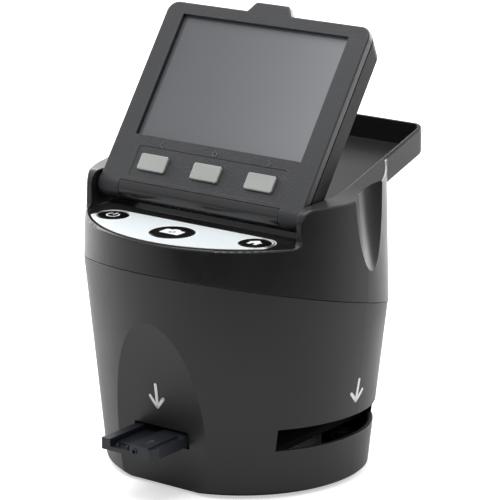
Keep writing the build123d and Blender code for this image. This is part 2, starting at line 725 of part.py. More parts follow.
def hinge_cover():
    tube = barrel_place * Cylinder(BARREL_RADIUS, 2 * HINGE_COVER_HALF)
    tube -= barrel_place * Cylinder(BARREL_RADIUS - HINGE_COVER_WALL, FAR)
    tube -= box_between(
        (-FAR, -BARREL_DROP + 0.4, -BEZEL_THICKNESS - 0.1), (FAR, FAR, FAR)
    )
    return tube


def cover_section(half_width, top, z):
    low = -BARREL_DROP + COVER_LOWER_EDGE
    plan = Pos(0, (top + low) / 2, z) * Rectangle(2 * half_width, top - low)
    return fillet(plan.vertices().group_by(Axis.Y)[-1], BEZEL_CORNER)


def cover_block(inset, front):
    """Rear cover form, drawn in by inset; its top slants towards the back."""
    top = BEZEL_TOP - 0.3 - inset
    half = COVER_HALF_WIDTH - inset
    back = cover_back + inset
    return loft(
        [cover_section(half, top, front), cover_section(half - 0.4, top - COVER_BACK_SLANT, back)],
        ruled=True,
    )


def screen_rear_cover():
    shell = cover_block(0, cover_shoulder)
    neck = extrude(
        cover_section(COVER_HALF_WIDTH - COVER_NECK_INSET, BEZEL_TOP - COVER_NECK_INSET, cover_front),
        -COVER_NECK - 0.2,
    )
    shell = shell + neck
    inside = cover_block(COVER_WALL, cover_shoulder)
    mouth = extrude(
        cover_section(
            COVER_HALF_WIDTH - COVER_NECK_INSET - COVER_WALL,
            BEZEL_TOP - COVER_NECK_INSET - COVER_WALL,
            cover_front,
        ),
        -COVER_NECK - 0.4,
    )
    barrel_wall = barrel_place * Cylinder(BARREL_RADIUS + 0.3 + COVER_WALL, 2 * FAR)
    shell = shell - (inside + mouth - barrel_wall)
    shell -= barrel_place * Cylinder(BARREL_RADIUS + 0.3, 2 * FAR)
    bay_half = KEY_PANEL_HALF_WIDTH + 1.6
    bay_low = -BARREL_DROP + BARREL_RADIUS
    shell -= box_between((-bay_half, bay_low, key_board_top() - 1.75), (bay_half, 0, FAR))
    for x, y in screen_screw_places():
        shell += disc(SCREEN_BOSS_RADIUS, cover_back + 1, cover_front, x, y)
        shell -= disc(SCREW_HEAD_RADIUS + 0.1, cover_back - 1, cover_back + 2.2, x, y)
        shell -= disc(SCREW_RADIUS, cover_back - 1, cover_front + 1, x, y)
    return shell


def screen_screw_places():
    upper_x = BEZEL_HALF_WIDTH - SCREEN_SCREW_INSET
    lower_x = upper_x - SCREEN_SCREW_STEP
    upper = [(side * upper_x, SCREEN_SCREW_HIGH) for side in (-1, 1)]
    return upper + [(side * lower_x, SCREEN_SCREW_LOW) for side in (-1, 1)]


def screen_screws():
    return [
        disc(SCREW_HEAD_RADIUS, cover_back + 0.8, cover_back + 2.2, x, y)
        + disc(SCREW_RADIUS, cover_back + 2.2, cover_front, x, y)
        for x, y in screen_screw_places()
    ]


def screen_window():
    width = OPENING_WIDTH + 2 * WINDOW_BORDER
    height = OPENING_HEIGHT + 2 * WINDOW_BORDER
    return Pos(0, OPENING_HEIGHT / 2, -(WINDOW_RECESS + BEZEL_THICKNESS) / 2) * Box(
        width, height, BEZEL_THICKNESS - WINDOW_RECESS
    )


def lcd_module():
    return box_between(
        (-OPENING_WIDTH / 2 - 1, -1.5, -BEZEL_THICKNESS - 3.2),
        (OPENING_WIDTH / 2 + 1, OPENING_HEIGHT + 1, -BEZEL_THICKNESS),
    )


def screen_key(x):
    cap = rounded_block(
        KEY_WIDTH, KEY_HEIGHT, KEY_CORNER, -BEZEL_THICKNESS - 0.05, KEY_RISE, x, KEY_CENTRE
    )
    cap = fillet(cap.faces().sort_by(Axis.Z)[-1].edges(), 0.35)
    flange_low = -BEZEL_THICKNESS - 0.05 - KEY_FLANGE_THICKNESS
    return cap + rounded_block(
        KEY_WIDTH + 2 * KEY_FLANGE, KEY_HEIGHT + KEY_FLANGE, KEY_CORNER,
        flange_low, -BEZEL_THICKNESS - 0.05, x, KEY_CENTRE + KEY_FLANGE / 2,
    )


def key_board_top():
    return -BEZEL_THICKNESS - 0.05 - KEY_FLANGE_THICKNESS - KEY_TRAVEL - 0.1 - KEY_DOME_HEIGHT


def key_board():
    top = key_board_top()
    low = -BARREL_DROP + BARREL_RADIUS + 0.5
    half = KEY_PANEL_HALF_WIDTH + 0.6
    board = box_between(
        (-half, low, top - KEY_BOARD_THICKNESS), (half, low + KEY_BOARD_DEPTH, top)
    )
    for _, x in key_places():
        board += disc(KEY_DOME_RADIUS, top, top + KEY_DOME_HEIGHT, x, KEY_CENTRE)
    return board


# ---- Hinge pins, fixed in the cheeks ----
def hinge_pins():
    length = PIN_IN_BARREL + PIN_IN_CHEEK + BASIN_HALF_WIDTH - BEZEL_HALF_WIDTH
    middle = BASIN_HALF_WIDTH + PIN_IN_CHEEK - length / 2
    return [
        screen_place * Pos(side * middle, 0, 0) * barrel_place * Cylinder(PIN_RADIUS, length)
        for side in (-1, 1)
    ]


# ---- Film adapter ----
def film_adapter():
    low = gate_floor_z + ADAPTER_LOW_GAP
    high = low + ADAPTER_HEIGHT
    half = ADAPTER_WIDTH / 2
    back = ADAPTER_FRONT_Y + ADAPTER_LENGTH
    plan = make_face(
        Polyline(
            (-half, ADAPTER_FRONT_Y),
            (half - 2.0, ADAPTER_FRONT_Y),
            (half, ADAPTER_FRONT_Y + 3.2),
            (half, back),
            (-half, back),
            close=True,
        )
    )
    body = extrude(Pos(0, 0, low) * plan, ADAPTER_HEIGHT)
    channel_low_x = FILM_CHANNEL_X - FILM_CHANNEL_WIDTH / 2
    channel_high_x = FILM_CHANNEL_X + FILM_CHANNEL_WIDTH / 2
    body -= box_between(
        (channel_low_x, ADAPTER_FRONT_Y - 1, high - FILM_CHANNEL_DEPTH),
        (channel_high_x, back - 6, high + 1),
    )
    body -= box_between(
        (channel_low_x, ADAPTER_FRONT_Y - 1, high - FILM_CHANNEL_DEPTH - 0.8),
        (channel_high_x, ADAPTER_FRONT_Y + 4, high),
    )
    window_y = FILM_CENTRE_Y - 14
    body -= box_between(
        (FILM_CHANNEL_X - 3, window_y - 4, low - 1), (FILM_CHANNEL_X + 3, window_y + 4, high + 1)
    )
    for offset in (-2.2, 2.2):
        body += disc(0.5, high - FILM_CHANNEL_DEPTH - 0.8, high - FILM_CHANNEL_DEPTH + 0.5,
                     FILM_CHANNEL_X + offset, ADAPTER_FRONT_Y + 1.6)
    step = box_between(
        (half - 2.6, ADAPTER_FRONT_Y - 1, high - 0.6), (half + 1, ADAPTER_FRONT_Y + 17, high + 1)
    )
    body -= step
    return body


# ---- Film gate, light and optics ----
def gate_plate(low_z):
    plate = box_between(
        (-GATE_HALF_WIDTH, GATE_FRONT_Y, low_z), (GATE_HALF_WIDTH, GATE_BACK_Y, low_z + GATE_PLATE)
    )
    plate -= Pos(0, FILM_CENTRE_Y, low_z) * Box(GATE_WINDOW_X, GATE_WINDOW_Y, 4 * GATE_PLATE)
    keep = lower_section(low_z, WALL + 0.8)
    return plate & extrude(keep, GATE_PLATE)


def gate_posts():
    return corners(
        GATE_HALF_WIDTH - GATE_POST_INSET,
        GATE_FRONT_Y + GATE_POST_FRONT_INSET,
        GATE_BACK_Y - GATE_POST_BACK_INSET,
    )


def film_gate_lower():
    plate = gate_plate(gate_floor_z - GATE_PLATE)
    for x, y in gate_posts():
        plate += disc(GATE_POST_RADIUS, BASE_PLATE_THICKNESS, gate_floor_z - GATE_PLATE / 2, x, y)
    return plate


def gate_spacers():
    return [disc(GATE_POST_RADIUS, gate_floor_z, gate_roof_z, x, y) for x, y in gate_posts()]


def light_box():
    high = gate_floor_z - GATE_PLATE
    outer = box_between(
        (-LIGHT_BOX_X / 2, FILM_CENTRE_Y - LIGHT_BOX_Y / 2, BASE_PLATE_THICKNESS),
        (LIGHT_BOX_X / 2, FILM_CENTRE_Y + LIGHT_BOX_Y / 2, high),
    )
    inner = box_between(
        (-LIGHT_BOX_X / 2 + LIGHT_BOX_WALL, FILM_CENTRE_Y - LIGHT_BOX_Y / 2 + LIGHT_BOX_WALL,
         BASE_PLATE_THICKNESS + 1.2),
        (LIGHT_BOX_X / 2 - LIGHT_BOX_WALL, FILM_CENTRE_Y + LIGHT_BOX_Y / 2 - LIGHT_BOX_WALL,
         high + 1),
    )
    return outer - inner


def light_insert(low_z, thickness, margin):
    return Pos(0, FILM_CENTRE_Y, low_z + thickness / 2) * Box(
        LIGHT_BOX_X - 2 * LIGHT_BOX_WALL - margin, LIGHT_BOX_Y - 2 * LIGHT_BOX_WALL - margin,
        thickness,
    )


def led_board():
    low = BASE_PLATE_THICKNESS + 1.2
    board = light_insert(low, BOARD_THICKNESS, 0.4)
    for column in (-1, 0, 1):
        for row in (-1, 0, 1):
            x, y = column * LED_PITCH_X, FILM_CENTRE_Y + row * LED_PITCH_Y
            board += Pos(x, y, low + BOARD_THICKNESS + 0.5) * Box(LED_SIZE, LED_SIZE, 1.0)
    return board


def diffuser():
    high = gate_floor_z - GATE_PLATE
    plate = light_insert(high - DIFFUSER_THICKNESS, DIFFUSER_THICKNESS, 0.0)
    return plate


def optics_low_z():
    return gate_roof_z + GATE_PLATE


def optics_frame():
    low = optics_low_z()
    high = low + OPTICS_HEIGHT
    frame = Pos(0, FILM_CENTRE_Y, (low + high) / 2) * Box(OPTICS_SIZE, OPTICS_SIZE, high - low)
    hollow = OPTICS_SIZE - 2 * OPTICS_WALL
    lower_half = Pos(0, FILM_CENTRE_Y, (low + high) / 2 - OPTICS_WALL)
    frame -= lower_half * Box(hollow, hollow, high - low)
    frame -= disc(LENS_RADIUS, low, high + 1, 0, FILM_CENTRE_Y)
    for x, y in corners(OPTICS_SIZE / 2 - 4, -OPTICS_SIZE / 2 + 4, OPTICS_SIZE / 2 - 4):
        frame += disc(OPTICS_POST_RADIUS, high, high + OPTICS_POST_HEIGHT, x, FILM_CENTRE_Y + y)
    return frame


def lens_barrel():
    high = optics_low_z() + OPTICS_HEIGHT
    low = high - LENS_LENGTH / 2
    barrel = disc(LENS_RADIUS, low, low + LENS_LENGTH, 0, FILM_CENTRE_Y)
    barrel -= disc(LENS_GLASS_RADIUS, low - 1, low + LENS_LENGTH + 1, 0, FILM_CENTRE_Y)
    return barrel


def lens_glass():
    low = optics_low_z() + OPTICS_HEIGHT - LENS_LENGTH / 2 + 1.5
    return disc(LENS_GLASS_RADIUS, low, low + LENS_GLASS_THICKNESS, 0, FILM_CENTRE_Y)


def sensor_board():
    low = optics_low_z() + OPTICS_HEIGHT + OPTICS_POST_HEIGHT
    size = OPTICS_SIZE - 2 * OPTICS_WALL
    board = Pos(0, FILM_CENTRE_Y, low + BOARD_THICKNESS / 2) * Box(size, size, BOARD_THICKNESS)
    chip = Pos(0, FILM_CENTRE_Y, low - SENSOR_THICKNESS / 2)
    chip = chip * Box(SENSOR_SIZE, SENSOR_SIZE, SENSOR_THICKNESS)
    return board + chip


# ---- Main board and its sockets ----
def main_board():
    board = box_between(
        (-MAIN_BOARD_HALF_WIDTH, MAIN_BOARD_Y - BOARD_THICKNESS, MAIN_BOARD_LOW_Z),
        (MAIN_BOARD_HALF_WIDTH, MAIN_BOARD_Y, MAIN_BOARD_HIGH_Z),
    )
    processor = Pos(0, MAIN_BOARD_Y - BOARD_THICKNESS - PROCESSOR_THICKNESS / 2, PROCESSOR_Z)
    return board + processor * Box(PROCESSOR_WIDTH, PROCESSOR_THICKNESS, PROCESSOR_HEIGHT)


def socket(name):
    x, width, height = SOCKETS[name]
    back_y = socket_face_y()
    body = box_between(
        (x - width / 2, MAIN_BOARD_Y, SOCKET_Z - height / 2),
        (x + width / 2, back_y, SOCKET_Z + height / 2),
    )
    mouth = Pos(x, back_y, SOCKET_Z) * Box(width - 1.2, 10, height - 1.2)
    return body - mouth


def socket_face_y():
    return lower_back_y(SOCKET_Z) - SOCKET_SETBACK


def write(name, part):
    shape = Compound(children=list(part)) if isinstance(part, list) else part
    shape.label = name
    export_step(shape, f"parts/{name}.step")


def main():
    os.makedirs("parts", exist_ok=True)
    write("lower_housing", lower_housing())
    write("base_plate", base_plate())
    write("rubber_feet", rubber_feet())
    write("base_screws", base_screws())
    write("upper_housing", upper_housing())
    write("control_label", control_label())
    write("deck_switch_board", deck_switch_board())
    for name, x, y, radius in button_places():
        write(name, deck_button(x, y, radius))
    write("screen_bezel", screen_place * screen_bezel())
    write("hinge_cover", screen_place * hinge_cover())
    write("screen_rear_cover", screen_place * screen_rear_cover())
    write("screen_screws", [screen_place * screw for screw in screen_screws()])
    write("screen_window", screen_place * screen_window())
    write("lcd_module", screen_place * lcd_module())
    write("key_board", screen_place * key_board())
    for name, x in key_places():
        write(name, screen_place * screen_key(x))
    write("hinge_pins", hinge_pins())
    write("film_adapter", film_adapter())
    write("film_gate_lower", film_gate_lower())
    write("film_gate_upper", gate_plate(gate_roof_z))
    write("gate_spacers", gate_spacers())
    write("light_box", light_box())
    write("led_board", led_board())
    write("diffuser", diffuser())
    write("optics_frame", optics_frame())
    write("lens_barrel", lens_barrel())
    write("lens_glass", lens_glass())
    write("sensor_board", sensor_board())
    write("main_board", main_board())
    for name in SOCKETS:
        write(name, socket(name))


main()
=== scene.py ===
"""Looks of the desktop film negative scanner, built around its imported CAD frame.

Lengths are written in millimetres and turned into metres by MM or mm().
"""
import json
import math

import bmesh
import bpy
from mathutils import Matrix, Vector
from mathutils.bvhtree import BVHTree


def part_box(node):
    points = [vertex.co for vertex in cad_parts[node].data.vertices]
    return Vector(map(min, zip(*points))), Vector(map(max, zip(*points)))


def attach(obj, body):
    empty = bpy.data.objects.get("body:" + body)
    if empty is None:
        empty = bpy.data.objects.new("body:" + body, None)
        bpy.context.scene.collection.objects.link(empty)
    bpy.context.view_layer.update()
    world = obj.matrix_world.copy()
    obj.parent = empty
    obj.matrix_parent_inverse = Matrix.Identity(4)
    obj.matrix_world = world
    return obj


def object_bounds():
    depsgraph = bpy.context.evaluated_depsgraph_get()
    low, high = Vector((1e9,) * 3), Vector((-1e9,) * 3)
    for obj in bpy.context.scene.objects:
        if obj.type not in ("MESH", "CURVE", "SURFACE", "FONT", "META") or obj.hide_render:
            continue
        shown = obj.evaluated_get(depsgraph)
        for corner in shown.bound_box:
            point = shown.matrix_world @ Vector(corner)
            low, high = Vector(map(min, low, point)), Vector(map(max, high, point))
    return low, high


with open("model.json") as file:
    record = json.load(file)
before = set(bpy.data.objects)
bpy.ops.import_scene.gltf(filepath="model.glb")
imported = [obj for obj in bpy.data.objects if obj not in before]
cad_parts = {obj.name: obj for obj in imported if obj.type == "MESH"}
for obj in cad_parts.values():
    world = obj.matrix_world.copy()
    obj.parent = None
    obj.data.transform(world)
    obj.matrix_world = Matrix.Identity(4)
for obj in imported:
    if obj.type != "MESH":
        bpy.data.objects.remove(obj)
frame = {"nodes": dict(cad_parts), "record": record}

CAD_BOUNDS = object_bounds()
MM = 0.001
IMAGE_SIZE = 500

# ---- Where things are on the scanner, in millimetres ----
SCREEN_ORIGIN = (0.0, -15.0, 120.0)
SCREEN_LEAN = math.radians(54.3)
BUTTON_TOP_Z = 94.0
CAPTURE_CENTRE = (0.0, -41.2)
POWER_CENTRE = (-32.1, -35.1)
HOME_CENTRE = (32.1, -35.1)
KEY_PITCH = 24.2
DECK_TOP_Z = 96.5

# ---- Printed and raised marks, in millimetres ----
PRINT_HEIGHT = 0.04
PRINT_GAP = 0.01
ROUND_END_SIDES = 12
LABEL_RIM_WIDTH = 0.95
LABEL_RIM_HEIGHT = 0.02
ARROW_STROKE = 1.25
ARROW_PIECES = 6
FRONT_ARROW = {"tip": (-0.8, 30.2), "tail": (-0.7, 39.1), "barbs": ((-3.7, 34.2), (2.2, 34.0))}
SIDE_ARROW = {"tip": (-2.6, 31.2), "tail": (-2.0, 39.3), "barbs": ((-5.7, 34.6), (0.6, 34.8))}
OUTSIDE = 120.0
ABOVE_SCREEN = 20.0
ABOVE_ADAPTER = 60.0
KEY_MARK_HEIGHT = 0.1
KEY_MARK_ROW = -2.8
KEY_MARK_SHIFT = 0.4
KEY_MARK_REACH = 0.7
KEY_MARK_RISE = 1.2
KEY_MARK_STROKE = 0.34
MIDDLE_MARK_X = 0.5
MIDDLE_MARK_RADII = (0.75, 1.1)
CATCH_CENTRE = (3.1, 19.3)
CATCH_HOLE_RADIUS = 0.75
CATCH_RADIUS = 1.15
CATCH_HEIGHT = 0.3
ADAPTER_ARROW_X = 5.5
ADAPTER_ARROW_TIP_Y = -59.6
ADAPTER_ARROW_LENGTH = 4.6
ADAPTER_ARROW_BARB = (1.1, 1.4)
ADAPTER_ARROW_STROKE = 0.3

# ---- Camera, fitted to the photograph: place in millimetres ----
CAMERA_PLACE = (588.1, -795.8, 352.2)
CAMERA_AZIMUTH = math.radians(36.27)
CAMERA_ELEVATION = math.radians(15.475)
CAMERA_ROLL = math.radians(0.214)
FOCAL_PIXELS = 2780.0
SENSOR_WIDTH = 36.0
CAMERA_CLIP = (0.05, 50.0)

# ---- Stage and light: places and sizes in metres, power in watts ----
FLOOR_HALF_SIZE = 6.0
FLOOR_GREY = 0.86
FLOOR_GLOW = 0.50
CARD_HALF_SIZE = 1.0
CARD_DISTANCE = 1.22
CARD_LIFT = 0.002
CARD_GREY = 0.04
WORLD_LIGHT = 0.36
WORLD_SEEN = 1.0
LIGHT_TARGET = (0.0, 0.0, 0.08)
SOFTBOXES = (
    {"name": "left_softbox", "place": (-0.80, 0.25, 0.30), "size": (0.9, 0.7), "power": 9.0},
    {"name": "right_softbox", "place": (0.21, 0.88, 0.30), "size": (0.9, 0.7), "power": 11.0},
    {"name": "top_softbox", "place": (-0.05, -0.13, 0.77), "size": (0.55, 0.55), "power": 4.6},
)

# Range of a noise pattern that a ramp spreads over its whole span
NOISE_LOW, NOISE_HIGH = 0.3, 0.7


def mm(*values):
    """Vector in metres from millimetres."""
    return Vector(values) * MM


SIDEWAYS = Vector((1, 0, 0))
BACKWARD = Vector((0, 1, 0))
UPRIGHT = Vector((0, 0, 1))


# ---- Node trees ----
class Nodes:
    """Short calls for building one material's node tree."""

    def __init__(self, name):
        self.material = bpy.data.materials.new(name)
        self.material.use_nodes = True
        self.tree = self.material.node_tree
        self.tree.nodes.clear()

    def add(self, kind, settings=None, **inputs):
        node = self.tree.nodes.new(kind)
        for key, value in (settings or {}).items():
            setattr(node, key, value)
        for key, value in inputs.items():
            self.feed(node.inputs[key.replace("_", " ")], value)
        return node

    def feed(self, socket, value):
        if isinstance(value, bpy.types.NodeSocket):
            self.tree.links.new(value, socket)
        else:
            socket.default_value = value

    def place(self):
        """Position on the object, in metres."""
        return self.add("ShaderNodeTexCoord").outputs["Object"]

    def noise(self, scale, detail=2.0, roughness=0.5):
        node = self.add("ShaderNodeTexNoise", Scale=scale, Detail=detail, Roughness=roughness)
        self.feed(node.inputs["Vector"], self.place())
        return node.outputs["Fac"]

    def ramp(self, factor, low=NOISE_LOW, high=NOISE_HIGH, start=0.0, end=1.0):
        """Maps factor from low..high to start..end."""
        node = self.add("ShaderNodeMapRange", {"clamp": True})
        for key, value in zip(("Value", "From Min", "From Max", "To Min", "To Max"),
                              (factor, low, high, start, end)):
            self.feed(node.inputs[key], value)
        return node.outputs["Result"]

    def math(self, operation, a, b=0.0):
        node = self.add("ShaderNodeMath", {"operation": operation})
        self.feed(node.inputs[0], a)
        self.feed(node.inputs[1], b)
        return node.outputs[0]

    def mix(self, factor, a, b):
        """Colour that goes from a to b as factor goes from 0 to 1."""
        node = self.add("ShaderNodeMix", {"data_type": "RGBA"})
        self.feed(node.inputs["Factor"], factor)
        self.feed(node.inputs[6], a)
        self.feed(node.inputs[7], b)
        return node.outputs[2]

    def lerp(self, factor, a, b):
        """Number that goes from a to b as factor goes from 0 to 1."""
        node = self.add("ShaderNodeMix", {"data_type": "FLOAT"})
        for key, value in zip((0, 2, 3), (factor, a, b)):
            self.feed(node.inputs[key], value)
        return node.outputs[0]

    def level_below(self, height_mm):
        """1 on level faces lower than that height, else 0."""
        place = self.add("ShaderNodeSeparateXYZ")
        self.feed(place.inputs[0], self.place())
        facing = self.add("ShaderNodeSeparateXYZ")
        self.feed(facing.inputs[0], self.add("ShaderNodeNewGeometry").outputs["Normal"])
        low = self.math("LESS_THAN", place.outputs["Z"], height_mm * MM)
        return self.math("MULTIPLY", low, self.ramp(facing.outputs["Z"], 0.80, 0.95))

    def bump(self, height, strength, distance_mm, normal=None):
        """Normal that follows the height pattern, laid over the given normal."""
        node = self.add("ShaderNodeBump", Strength=strength, Distance=distance_mm * MM)
        self.feed(node.inputs["Height"], height)
        if normal is not None:
            self.feed(node.inputs["Normal"], normal)
        return node.outputs["Normal"]

    def surface(self, shader):
        output = self.add("ShaderNodeOutputMaterial")
        self.tree.links.new(shader.outputs[0], output.inputs["Surface"])
        return self.material


def rgba(colour):
    """Colour with full opacity."""
    return (*colour, 1.0)


def shade(colour, factor):
    """Colour made lighter or darker, up to white."""
    return tuple(min(1.0, c * factor) for c in colour)


def moulded(name, colour, roughness, grain_mm=0.35, grain=0.25, sheen_gap=0.05, specular=0.5,
            edge_wear_and_highlight=0.6, mottle=0.08, relief=0.12, polished_below=None):
    """Moulded plastic: fine grain, uneven gloss, softened edges, and edges lightened partly as wear
    and partly as a painted highlight.

    relief is the grain's depth as a share of its size. Level faces below polished_below, in
    millimetres, are smooth and glossy.
    """
    soft_edge, grain_tint, wear_and_highlight_tint, flow_gap = 0.3, 1.35, 1.9, 0.02
    n = Nodes(name)
    soft = n.add("ShaderNodeBevel", {"samples": 6}, Radius=soft_edge * MM).outputs["Normal"]
    true_normal = n.add("ShaderNodeNewGeometry").outputs["Normal"]
    facing = n.add("ShaderNodeVectorMath", {"operation": "DOT_PRODUCT"})
    n.feed(facing.inputs[0], soft)
    n.feed(facing.inputs[1], true_normal)
    edge = n.ramp(facing.outputs["Value"], 0.99, 0.80, 0.0, edge_wear_and_highlight)
    grain_noise = n.noise(1.0 / (grain_mm * MM), 3.0, 0.6)
    smudge = n.noise(38.0, 3.0, 0.55)
    flow = n.noise(9.0, 2.0)
    base = n.mix(n.ramp(smudge, 0.3, 0.75), rgba(shade(colour, 1.0 - mottle)),
                 rgba(shade(colour, 1.0 + mottle)))
    base = n.mix(n.ramp(grain_noise, 0.35, 0.7, 0.0, 0.35), base, rgba(shade(colour, grain_tint)))
    # Edges turn toward a paler tint, partly as wear and partly as a painted highlight.
    wear_and_highlight_mask = n.math("MULTIPLY", edge, n.ramp(smudge, 0.25, 0.6))
    base = n.mix(wear_and_highlight_mask, base, rgba(shade(colour, wear_and_highlight_tint)))
    rough = n.math("ADD", n.ramp(smudge, start=roughness - sheen_gap, end=roughness + sheen_gap),
                   n.ramp(flow, start=-flow_gap, end=flow_gap))
    gloss = specular
    if polished_below is not None:
        polished = n.level_below(polished_below)
        rough = n.lerp(polished, rough, 0.10)
        gloss = n.lerp(polished, specular, 0.05)
    normal = n.bump(grain_noise, grain, grain_mm * relief, soft)
    shader = n.add("ShaderNodeBsdfPrincipled", Base_Color=base, Roughness=rough, Normal=normal)
    n.feed(shader.inputs["Specular IOR Level"], gloss)
    return n.surface(shader)


def metal(name, colour, roughness):
    """Plated or ground steel with a fine brushed pattern."""
    rough_gap = 0.08
    n = Nodes(name)
    brushed = n.noise(900.0, 3.0)
    base = n.mix(n.ramp(brushed), rgba(shade(colour, 0.85)), rgba(colour))
    rough = n.ramp(brushed, start=roughness - rough_gap, end=roughness + rough_gap)
    normal = n.bump(brushed, 0.15, 0.02)
    shader = n.add("ShaderNodeBsdfPrincipled", Base_Color=base, Roughness=rough, Normal=normal)
    shader.inputs["Metallic"].default_value = 1.0
    return n.surface(shader)


def glass(name, colour):
    """Clear tinted glass, smooth with faint smears."""
    n = Nodes(name)
    rough = n.ramp(n.noise(300.0), start=0.01, end=0.05)
    shader = n.add("ShaderNodeBsdfPrincipled", Roughness=rough)
    shader.inputs["Base Color"].default_value = rgba(colour)
    shader.inputs["Transmission Weight"].default_value = 1.0
    return n.surface(shader)


def circuit_board(name):
    """Green board with lighter tracks."""
    board, track = (0.015, 0.09, 0.045), (0.03, 0.16, 0.07)
    n = Nodes(name)
    tracks = n.noise(700.0, 1.0, 0.2)
    base = n.mix(n.ramp(tracks, 0.48, 0.52), rgba(board), rgba(track))
    normal = n.bump(tracks, 0.3, 0.05)
    shader = n.add("ShaderNodeBsdfPrincipled", Base_Color=base, Normal=normal)
    shader.inputs["Roughness"].default_value = 0.35
    return n.surface(shader)


def display_window(name):
    """Grey display under a clear panel, with a painted reflection that makes it lighter toward its
    right side.
    """
    left_grey, right_grey = (0.098, 0.100, 0.112), (0.218, 0.227, 0.246)
    cloud_grey = (0.20, 0.205, 0.215)
    n = Nodes(name)
    split = n.add("ShaderNodeSeparateXYZ")
    n.feed(split.inputs[0], n.place())
    low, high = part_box("screen_window")
    # Painted reflection: the grey runs from the darker left colour to the lighter right colour
    # across the window.
    painted_reflection_blend = n.math("POWER", n.ramp(split.outputs["X"], low.x, high.x), 1.8)
    base = n.mix(painted_reflection_blend, rgba(left_grey), rgba(right_grey))
    base = n.mix(n.ramp(n.noise(25.0, 2.0), end=0.06), base, rgba(cloud_grey))
    rough = n.ramp(n.noise(120.0, 3.0), start=0.10, end=0.16)
    normal = n.bump(n.noise(2500.0), 0.05, 0.01)
    shader = n.add("ShaderNodeBsdfPrincipled", Base_Color=base, Roughness=rough, Normal=normal)
    shader.inputs["Coat Weight"].default_value = 0.3
    shader.inputs["Coat Roughness"].default_value = 0.05
    return n.surface(shader)


PLASTICS = {
    "housing_plastic": dict(colour=(0.013, 0.013, 0.0135), roughness=0.40, grain_mm=0.22,
                            grain=0.10, specular=0.42),
    "upper_plastic": dict(colour=(0.0105, 0.0105, 0.011), roughness=0.31, grain_mm=0.22,
                          grain=0.08, specular=0.40, polished_below=DECK_TOP_Z),
    "base_plastic": dict(colour=(0.007, 0.007, 0.0075), roughness=0.60, grain_mm=0.4, grain=0.3,
                         specular=0.15),
    "foot_rubber": dict(colour=(0.03, 0.03, 0.03), roughness=0.8, grain_mm=0.5, grain=0.4,
                        specular=0.3),
    "label_white": dict(colour=(0.78, 0.85, 0.88), roughness=0.30, grain_mm=0.5, grain=0.0,
                        sheen_gap=0.0, mottle=0.01, edge_wear_and_highlight=0.0),
    "label_rim": dict(colour=(0.95, 0.96, 0.97), roughness=0.30, grain_mm=0.5, grain=0.03,
                      sheen_gap=0.03),
    "print_white": dict(colour=(0.85, 0.88, 0.88), roughness=0.5, grain_mm=0.3, grain=0.05,
                        sheen_gap=0.04),
    "button_black": dict(colour=(0.004, 0.004, 0.004), roughness=0.16, grain_mm=0.3, grain=0.03,
                         specular=0.15),
    "bezel_plastic": dict(colour=(0.015, 0.016, 0.020), roughness=0.38, grain_mm=0.48, grain=1.0,
                          specular=0.40, relief=0.28),
    "bezel_mark": dict(colour=(0.060, 0.062, 0.068), roughness=0.30, grain_mm=0.4, grain=0.2),
    "hinge_plastic": dict(colour=(0.010, 0.010, 0.0115), roughness=0.27, grain_mm=0.3,
                          grain=0.12),
    "cover_plastic": dict(colour=(0.012, 0.012, 0.0135), roughness=0.44, grain_mm=0.4, grain=0.4,
                          specular=0.12),
    "display_module": dict(colour=(0.10, 0.11, 0.11), roughness=0.4),
    "key_silver": dict(colour=(0.35, 0.358, 0.345), roughness=0.38, grain_mm=0.3, grain=0.12,
                       sheen_gap=0.04),
    "adapter_plastic": dict(colour=(0.0105, 0.012, 0.0165), roughness=0.38, grain_mm=0.3,
                            grain=0.25, specular=0.4),
    # Near-black matte finish for the disc painted as the shade of the adapter catch's hole.
    "adapter_hole": dict(colour=(0.002, 0.002, 0.002), roughness=0.8, specular=0.1),
    "adapter_mark": dict(colour=(0.10, 0.105, 0.115), roughness=0.5),
    "gate_plastic": dict(colour=(0.004, 0.004, 0.004), roughness=0.9, grain_mm=0.4, grain=0.2,
                         specular=0.1),
    "light_box_white": dict(colour=(0.75, 0.75, 0.73), roughness=0.6),
    "diffuser_white": dict(colour=(0.80, 0.83, 0.85), roughness=0.45),
    "lens_black": dict(colour=(0.012, 0.012, 0.012), roughness=0.5),
}
METALS = {
    "screw_steel": dict(colour=(0.40, 0.40, 0.42), roughness=0.35),
    "pin_steel": dict(colour=(0.55, 0.55, 0.56), roughness=0.25),
    "socket_metal": dict(colour=(0.55, 0.55, 0.57), roughness=0.3),
}
MATERIALS = {
    **{name: moulded(name, **finish) for name, finish in PLASTICS.items()},
    **{name: metal(name, **finish) for name, finish in METALS.items()},
    "circuit_board": circuit_board("circuit_board"),
    "window_plastic": display_window("window_plastic"),
    "lens_glass": glass("lens_glass", (0.85, 0.92, 0.97)),
}
# Node whose finish differs from that of its material slot
OWN_FINISH = {"upper_housing": "upper_plastic"}


def dress_cad_nodes():
    """Gives every CAD node the finish of its material slot, or its own where it has one."""
    for part in frame["record"]["subparts"]:
        node = frame["nodes"][part["node"]]
        finish = OWN_FINISH.get(part["node"], part["material_slot"])
        node.data.materials.clear()
        node.data.materials.append(MATERIALS[finish])


# ---- Printed signs ----
def placed_object(bm, name):
    """Object in the scene from a finished bmesh, which is freed."""
    mesh = bpy.data.meshes.new(name)
    bm.to_mesh(mesh)
    bm.free()
    piece = bpy.data.objects.new(name, mesh)
    bpy.context.scene.collection.objects.link(piece)
    return piece


def thicken(piece, height):
    """Grows the piece outward by that many millimetres."""
    solid = piece.modifiers.new("thickness", "SOLIDIFY")
    solid.thickness = height * MM
    solid.offset = 1.0


def flat_mesh(name, loops, material, body, height=PRINT_HEIGHT):
    """Thin printed piece from closed outlines of (x, y, z) points in metres."""
    bm = bmesh.new()
    for loop in loops:
        bm.faces.new([bm.verts.new(point) for point in loop])
    bmesh.ops.remove_doubles(bm, verts=bm.verts, dist=1e-7)
    bmesh.ops.recalc_face_normals(bm, faces=bm.faces)
    piece = placed_object(bm, name)
    thicken(piece, height)
    piece.data.materials.append(MATERIALS[material])
    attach(piece, body)


